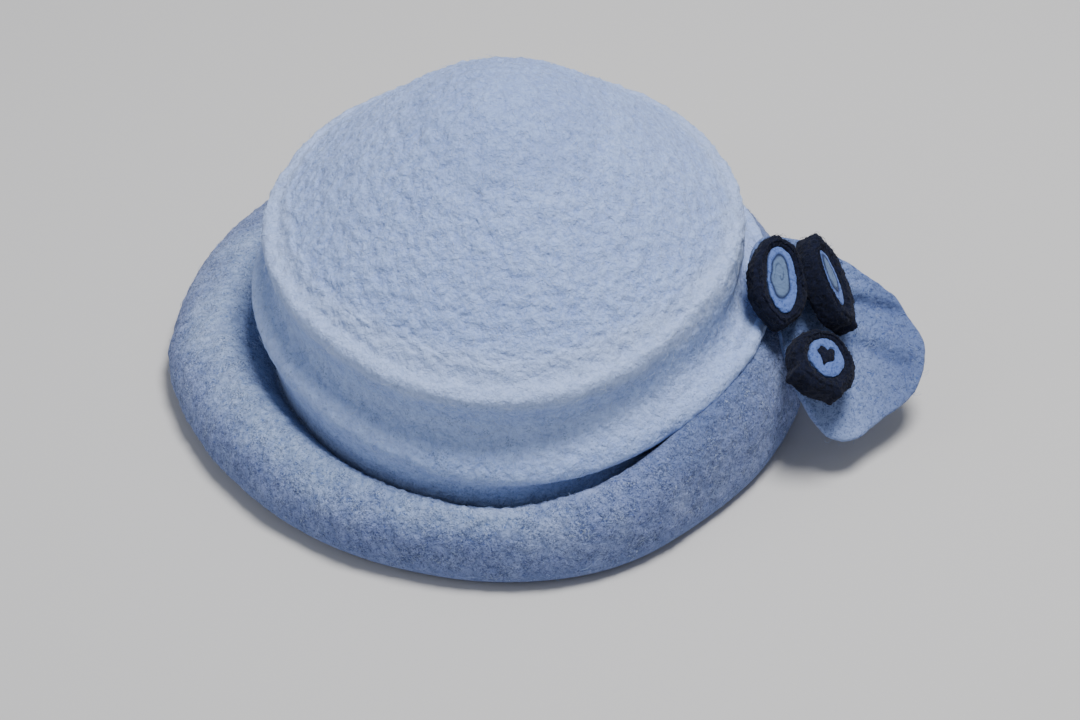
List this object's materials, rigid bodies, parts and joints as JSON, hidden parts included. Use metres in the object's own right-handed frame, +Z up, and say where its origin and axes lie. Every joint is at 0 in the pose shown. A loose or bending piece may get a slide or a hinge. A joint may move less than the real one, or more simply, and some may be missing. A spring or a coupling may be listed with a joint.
{
  "type": "cloche hat",
  "caption": "Hand-felted wool cloche hat with a domed crown, soft ridges, a turned-up mottled brim and a felt leaf with felt roll slices at one side",
  "frame": {"origin": "on the floor that the brim rests on, under the middle of the hat's bounding box", "axes": "+X to the side with the leaf, +Y to the back, +Z up"},
  "size_m": [0.2848, 0.2276, 0.135],
  "materials": {
    "pale_felt": "matte pebbled wool felt, pale powder blue",
    "mottled_felt": "matte wool felt, blue mottled with dark navy fibres",
    "leaf_felt": "matte wool felt, blue, lightly mottled",
    "navy_felt": "matte wool felt, dark navy",
    "periwinkle_felt": "matte wool felt, periwinkle blue"
  },
  "bodies": {
    "root": {"crown": "pale_felt", "brim": "mottled_felt", "leaf": "leaf_felt", "left_slice_wrap": "navy_felt", "left_slice_core": "periwinkle_felt", "right_slice_wrap": "navy_felt", "right_slice_core": "periwinkle_felt", "round_slice_wrap": "navy_felt", "round_slice_core": "periwinkle_felt", "round_slice_heart": "navy_felt"}
  },
  "joints": []
}
